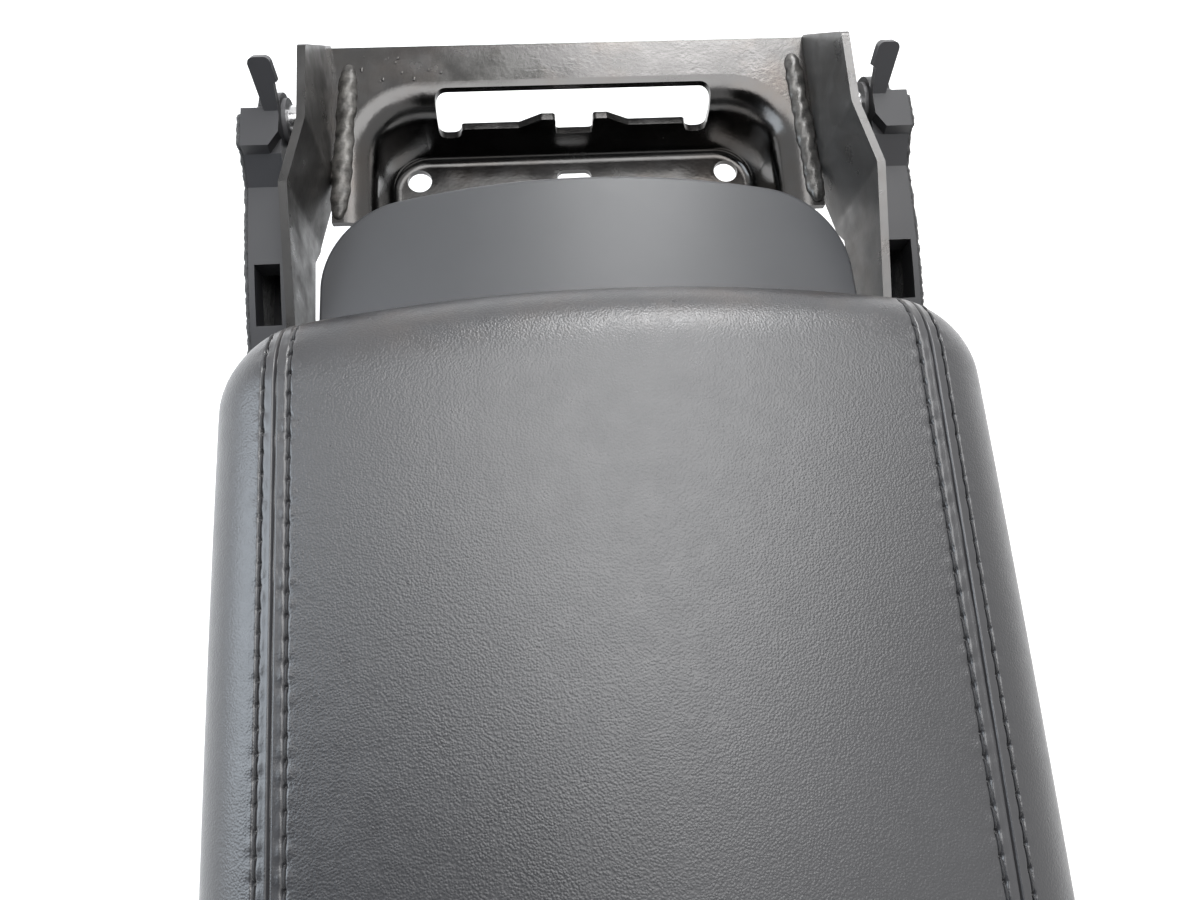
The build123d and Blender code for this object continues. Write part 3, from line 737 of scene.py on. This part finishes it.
def one_stitch(pad):
    """A short length of thread that dives into the leather at both ends."""
    deselect()
    bpy.ops.mesh.primitive_cylinder_add(
        vertices=7, radius=pad.thread_radius, depth=pad.stitch_length
    )
    stitch = added("stitch")
    cuts = 6
    for k in range(1, cuts):
        height = (k / cuts - 0.5) * pad.stitch_length
        edit(stitch, lambda: bpy.ops.mesh.bisect(plane_co=(0, 0, height), plane_no=(0, 0, 1)))
    points = points_of(stitch)
    share = points[:, 2] / (pad.stitch_length / 2)
    points[:, :2] *= (1 - 0.45 * share**4)[:, None]
    points[:, 1] -= pad.thread_radius * 1.5 * share**4
    set_points(stitch, points)
    return stitch


def along_row(row, distance):
    """Point and normal of a stitch row at a distance from its rear end."""
    places, normals, run = row
    place = np.array([np.interp(distance, run, places[:, k]) for k in range(3)])
    normal = np.array([np.interp(distance, run, normals[:, k]) for k in range(3)])
    return place, normal / np.linalg.norm(normal)


class ARMREST_OT_seam_stitches(bpy.types.Operator):
    """Sew the two rows of stitches beside each seam"""

    bl_idname = "armrest.seam_stitches"
    bl_label = "Seam stitches"

    def execute(self, context):
        pad = settings().pad
        material = thread_finish()
        model = one_stitch(pad)
        shape = points_of(model)
        faces = [list(p.vertices) for p in model.data.polygons]
        tree = surface_tree(bpy.data.objects["leather_pad"])
        for side_name, side in SIDES.items():
            points, polygons = [], []
            for end in (-1, 1):
                row = SEAM_ROWS[(side, end)]
                count = int(row[2][-1] / pad.stitch_pitch)
                for k in range(count):
                    middle = (k + 0.5) * pad.stitch_pitch
                    place, normal = along_row(row, middle)
                    ahead, _ = along_row(row, middle + pad.stitch_pitch * 0.3)
                    behind, _ = along_row(row, middle - pad.stitch_pitch * 0.3)
                    way = (ahead - behind) / np.linalg.norm(ahead - behind)
                    normal = normal - way * normal.dot(way)
                    normal /= np.linalg.norm(normal)
                    hit = tree.ray_cast(Vector(place + normal * 0.003), Vector(-normal), 0.008)
                    if hit[0] is not None:
                        place = np.array(hit[0])
                    turn = np.stack([np.cross(normal, way), normal, way], axis=1)
                    start = sum(len(p) for p in points)
                    points.append(shape @ turn.T + place + normal * pad.thread_radius * 0.5)
                    polygons += [[i + start for i in face] for face in faces]
            mesh = bpy.data.meshes.new(f"seam_stitches_{side_name}")
            mesh.from_pydata(np.concatenate(points).tolist(), [], polygons)
            piece = bpy.data.objects.new(mesh.name, mesh)
            context.scene.collection.objects.link(piece)
            edit(piece, lambda: bpy.ops.mesh.normals_make_consistent(inside=False))
            finish_piece(piece, material, "armrest", "leather")
        bpy.data.objects.remove(model)
        return {"FINISHED"}


# Weld beads

def ripple(y, seed):
    """Slow and quick waves along a bead, different for each seed."""
    slow = np.sin(y * 310 + seed) + 0.6 * np.sin(y * 730 + 2.1 * seed)
    quick = np.sin(y * 2300 + 0.8 * np.sin(y * 500 + seed))
    return 0.05 * slow + 0.015 * quick


class ARMREST_OT_weld_beads(bpy.types.Operator):
    """Model the two uneven weld beads between plate and arms"""

    bl_idname = "armrest.weld_beads"
    bl_label = "Weld beads"

    def execute(self, context):
        weld = settings().colours.weld
        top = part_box("bracket_plate")[1].z
        looks = {
            "left": weld_finish("dull_weld", weld, 0.42, 0.2),
            "right": weld_finish("dark_weld", tint(weld, 0.8), 0.3, 0.5),
        }
        for name, side in SIDES.items():
            low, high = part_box(f"weld_{name}")
            piece = grid(f"weld_bead_{name}", 32, 180)
            flat = points_of(piece)
            angle = flat[:, 0] * math.pi
            reach = (high.x - low.x) * 0.44
            taper = np.sqrt(np.clip(1 - np.abs(flat[:, 1]) ** 9, 0, 1))
            y = (low.y + high.y) / 2 + flat[:, 1] * (high.y - low.y) / 2
            lumps = 0.09 * np.sin(3 * angle + y * 900) * np.sin(y * 410 + side)
            radius = reach * taper * (1 + ripple(y, side * 2.0) + lumps)
            drift = (0.0026 - 0.0005 * side) * np.clip((y - low.y) / (high.y - low.y), 0, 1)
            corner = high.x if side > 0 else low.x
            x = corner - side * (reach * 0.7 + drift) + radius * np.cos(angle)
            z = top + radius * np.sin(angle) * 0.65
            set_points(piece, np.stack([x, y, z], axis=1))
            edit(
                piece,
                lambda: bpy.ops.mesh.remove_doubles(threshold=1e-6),
                lambda: bpy.ops.mesh.normals_make_consistent(inside=False),
            )
            finish_piece(piece, looks[name], "bracket", "weld_metal", f"weld_{name}")
        return {"FINISHED"}


class ARMREST_OT_weld_spatter(bpy.types.Operator):
    """Scatter small weld drops on the plate beside the left bead"""

    bl_idname = "armrest.weld_spatter"
    bl_label = "Weld spatter"

    def execute(self, context):
        plate = frame["nodes"]["bracket_plate"]
        tree = surface_tree(plate)
        low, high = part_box("bracket_plate")
        chance = np.random.RandomState(5)
        drops = []
        while len(drops) < DROPS:
            x = low.x + chance.uniform(*DROPS_X)
            y = high.y - chance.uniform(*DROPS_Y)
            hit = tree.ray_cast(Vector((x, y, high.z + 0.01)), Vector((0, 0, -1)))[0]
            size = chance.uniform(0.2, 0.55) * MM
            deselect()
            bpy.ops.mesh.primitive_ico_sphere_add(subdivisions=3, radius=size, location=hit)
            bpy.ops.transform.resize(value=(1.0, chance.uniform(0.8, 1.4), 0.6))
            bpy.ops.object.transform_apply(location=True, rotation=True, scale=True)
            drops.append(bpy.context.object)
        for drop in drops:
            drop.select_set(True)
        bpy.ops.object.join()
        piece = added("weld_spatter")
        finish_piece(piece, plate.data.materials[0], "bracket", "coated_steel")
        return {"FINISHED"}


# Felt

class ARMREST_OT_felt(bpy.types.Operator):
    """Roughen the felt on the ears into a fibrous sheet"""

    bl_idname = "armrest.felt"
    bl_label = "Felt"

    def execute(self, context):
        material = felt_finish()
        fibres = bpy.data.textures.new("felt_fibres", "CLOUDS")
        fibres.noise_scale = 0.0011
        fibres.noise_depth = 2
        for side in SIDES:
            node = frame["nodes"][f"felt_{side}"]
            piece = bpy.data.objects.new(f"rough_felt_{side}", node.data.copy())
            context.scene.collection.objects.link(piece)
            piece.data.name = piece.name
            apply_modifier(piece, "REMESH", mode="VOXEL", voxel_size=0.00045)
            apply_modifier(piece, "DISPLACE", texture=fibres, strength=0.0008, mid_level=0.45)
            finish_piece(piece, material, "armrest", "felt", node.name)
        return {"FINISHED"}


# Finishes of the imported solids

class ARMREST_OT_finishes(bpy.types.Operator):
    """Give every solid that still shows its finish"""

    bl_idname = "armrest.finishes"
    bl_label = "Finishes"

    def execute(self, context):
        colours = settings().colours
        looks = {
            "coated_steel": steel_finish("burnished_plate", 1.0, 0.2, 1.0),
            "weld_metal": weld_finish("weld_metal", colours.weld, 0.5, 0.1),
            "pin_steel": pin_finish(),
            "clip_steel": bright_finish("spring_steel", tint(colours.pin, 0.6), 0.35),
            "screw_steel": bright_finish("zinc_screw", tint(colours.pin, 0.7), 0.35),
            "buffer_rubber": grained_plastic_finish("buffer_rubber", colours.rubber, 0.75),
            "leather": grained_plastic_finish("leather_blank", colours.leather, 0.5),
            "foam": grained_plastic_finish("moulded_foam", (0.6, 0.56, 0.44), 0.9),
            "board_plastic": grained_plastic_finish("board", colours.shell, 0.6),
            "shell_plastic": grained_plastic_finish("underside_plastic", colours.shell, 0.55),
            "cover_plastic": smooth_plastic_finish("hinge_cover_plastic", colours.cover, 0.35, 0.8),
            "ear_plastic": smooth_plastic_finish("ear_plastic", colours.ear, 0.42, 0.3),
            "felt": felt_finish(),
            "bush_plastic": smooth_plastic_finish("bush_plastic", colours.bush, 0.4, 0.0),
        }
        for row in frame["record"]["subparts"]:
            node = frame["nodes"][row["node"]]
            node.data.materials.clear()
            node.data.materials.append(looks[row["material_slot"]])
        # Each arm gets the coat in its own painted shade, darker on the left and lighter on the
        # right, standing in for how light falls on them
        for side, shade in ARM_PAINTED_SHADES.items():
            arm = steel_finish(f"burnished_arm_{side}", shade, ARM_SHINE, ARM_METAL)
            frame["nodes"][f"arm_{side}"].data.materials[0] = arm
        return {"FINISHED"}


# Stage

def area_light(name, power, turn=0.0):
    """Panel of light that faces its target, turned about its own axis."""
    place, target, size = LIGHTS[name]
    lamp = bpy.data.lights.new(name, "AREA")
    lamp.shape = "RECTANGLE"
    lamp.size, lamp.size_y = size
    lamp.energy = power
    light = bpy.data.objects.new(name, lamp)
    bpy.context.scene.collection.objects.link(light)
    light.location = place
    facing = (Vector(target) - Vector(place)).to_track_quat("-Z", "Y")
    light.rotation_euler = (facing @ Matrix.Rotation(turn, 3, "Z").to_quaternion()).to_euler()
    return lamp


def white_where_seen(tree, lit, seen):
    """Strength that is lit for the object's light and seen for what looks straight at it."""
    paths = tree.nodes.new("ShaderNodeLightPath")
    direct = paths.outputs["Is Camera Ray"]
    for kind in ("Is Glossy Ray", "Is Transmission Ray"):
        either = tree.nodes.new("ShaderNodeMath")
        either.operation = "MAXIMUM"
        tree.links.new(direct, either.inputs[0])
        tree.links.new(paths.outputs[kind], either.inputs[1])
        direct = either.outputs["Value"]
    return map_range(tree, direct, 0.0, 1.0, lit, seen).outputs["Result"]


def paler_far_off(tree, strength, far):
    """Raise what is seen of the floor towards the horizon, so that it meets the white room."""
    place = tree.nodes.new("ShaderNodeTexCoord")
    distance = tree.nodes.new("ShaderNodeVectorMath")
    distance.operation = "LENGTH"
    tree.links.new(place.outputs["Object"], distance.inputs[0])
    near = strength.node.inputs["To Max"]
    rise = map_range(tree, distance.outputs["Value"], *FLOOR_RISE, near.default_value, far)
    tree.links.new(rise.outputs["Result"], near)
    return strength


def dark_corner(tree, strength, towards):
    """Dim the room's light softly towards one direction; the picture's background stays white."""
    place = tree.nodes.new("ShaderNodeTexCoord")
    facing = tree.nodes.new("ShaderNodeVectorMath")
    facing.operation = "DOT_PRODUCT"
    facing.inputs[1].default_value = Vector(towards).normalized()
    tree.links.new(place.outputs["Generated"], facing.inputs[0])
    dim = map_range(tree, facing.outputs["Value"], *CORNER_DIM)
    dim.interpolation_type = "SMOOTHSTEP"
    backdrop = tree.nodes.new("ShaderNodeLightPath").outputs["Is Camera Ray"]
    share = dim.outputs["Result"]
    for operation, other in (("MAXIMUM", backdrop), ("MULTIPLY", strength)):
        node = tree.nodes.new("ShaderNodeMath")
        node.operation = operation
        tree.links.new(share, node.inputs[0])
        tree.links.new(other, node.inputs[1])
        share = node.outputs["Value"]
    return share


class ARMREST_OT_stage(bpy.types.Operator):
    """Set up the camera, the soft light and the white floor"""

    bl_idname = "armrest.stage"
    bl_label = "Stage"

    def execute(self, context):
        stage = settings().stage
        scene = context.scene
        scene.view_settings.view_transform = "Standard"
        look = Vector(stage.look).normalized()
        right = look.cross(Vector(stage.up)).normalized()
        axes = Matrix((right, right.cross(look), -look)).transposed().to_4x4()
        camera = bpy.data.objects.new("camera", bpy.data.cameras.new("camera"))
        camera.data.sensor_width = stage.sensor
        camera.data.lens = stage.lens
        camera.data.clip_start = 0.01
        camera.matrix_world = Matrix.Translation(stage.eye) @ axes
        scene.collection.objects.link(camera)
        scene.camera = camera

        world = bpy.data.worlds.new("white_room")
        world.use_nodes = True
        scene.world = world
        background = world.node_tree.nodes["Background"]
        room = world.node_tree
        even = white_where_seen(room, stage.sky, 1.0)
        room.links.new(dark_corner(room, even, stage.corner), background.inputs["Strength"])
        background.inputs["Color"].default_value = WHITE

        deselect()
        height = CAD_BOX[0][2] - stage.floor_drop
        bpy.ops.mesh.primitive_plane_add(size=FLOOR_SIZE, location=(0, 0, height))
        floor = added("floor")
        paint = bpy.data.materials.new("white_floor")
        paint.use_nodes = True
        tree = paint.node_tree
        shader = tree.nodes["Principled BSDF"]
        shader.inputs["Base Color"].default_value = FLOOR_PAINT
        shader.inputs["Roughness"].default_value = 0.9
        shader.inputs["Emission Color"].default_value = WHITE
        seen = paler_far_off(tree, white_where_seen(tree, 0.0, FLOOR_SEEN), FLOOR_SEEN_FAR)
        tree.links.new(seen, shader.inputs["Emission Strength"])
        floor.data.materials.append(paint)

        area_light("softbox", stage.key_power, stage.key_turn)
        area_light("rear_window", stage.rear_power)
        window = area_light("side_window", stage.fill_power)
        window.color = stage.fill_colour
        return {"FINISHED"}


class ArmrestSettings(bpy.types.PropertyGroup):
    """All settings of the armrest."""

    pad: PointerProperty(type=PadSettings)
    colours: PointerProperty(type=ColourSettings)
    stage: PointerProperty(type=StageSettings)


OPERATORS = (
    ARMREST_OT_finishes,
    ARMREST_OT_leather_pad,
    ARMREST_OT_seam_stitches,
    ARMREST_OT_weld_beads,
    ARMREST_OT_weld_spatter,
    ARMREST_OT_felt,
    ARMREST_OT_stage,
)


class ARMREST_PT_panel(bpy.types.Panel):
    """Lists the armrest's settings and steps"""

    bl_idname = "ARMREST_PT_panel"
    bl_label = "Armrest"
    bl_space_type = "VIEW_3D"
    bl_region_type = "UI"
    bl_category = "Armrest"

    def draw(self, context):
        for group in (settings().pad, settings().colours, settings().stage):
            box = self.layout.box()
            for name in group.__annotations__:
                box.prop(group, name)
        for operator in OPERATORS:
            self.layout.operator(operator.bl_idname)


GROUPS = (PadSettings, ColourSettings, StageSettings, ArmrestSettings)
CLASSES = (*GROUPS, *OPERATORS, ARMREST_PT_panel)


def register():
    for item in CLASSES:
        bpy.utils.register_class(item)
    bpy.types.Scene.armrest = PointerProperty(type=ArmrestSettings)


def unregister():
    del bpy.types.Scene.armrest
    for item in reversed(CLASSES):
        bpy.utils.unregister_class(item)


def main():
    register()
    bpy.ops.armrest.finishes()
    bpy.ops.armrest.leather_pad()
    bpy.ops.armrest.seam_stitches()
    bpy.ops.armrest.weld_beads()
    bpy.ops.armrest.weld_spatter()
    bpy.ops.armrest.felt()
    bpy.ops.armrest.stage()


if __name__ == "__main__":
    main()
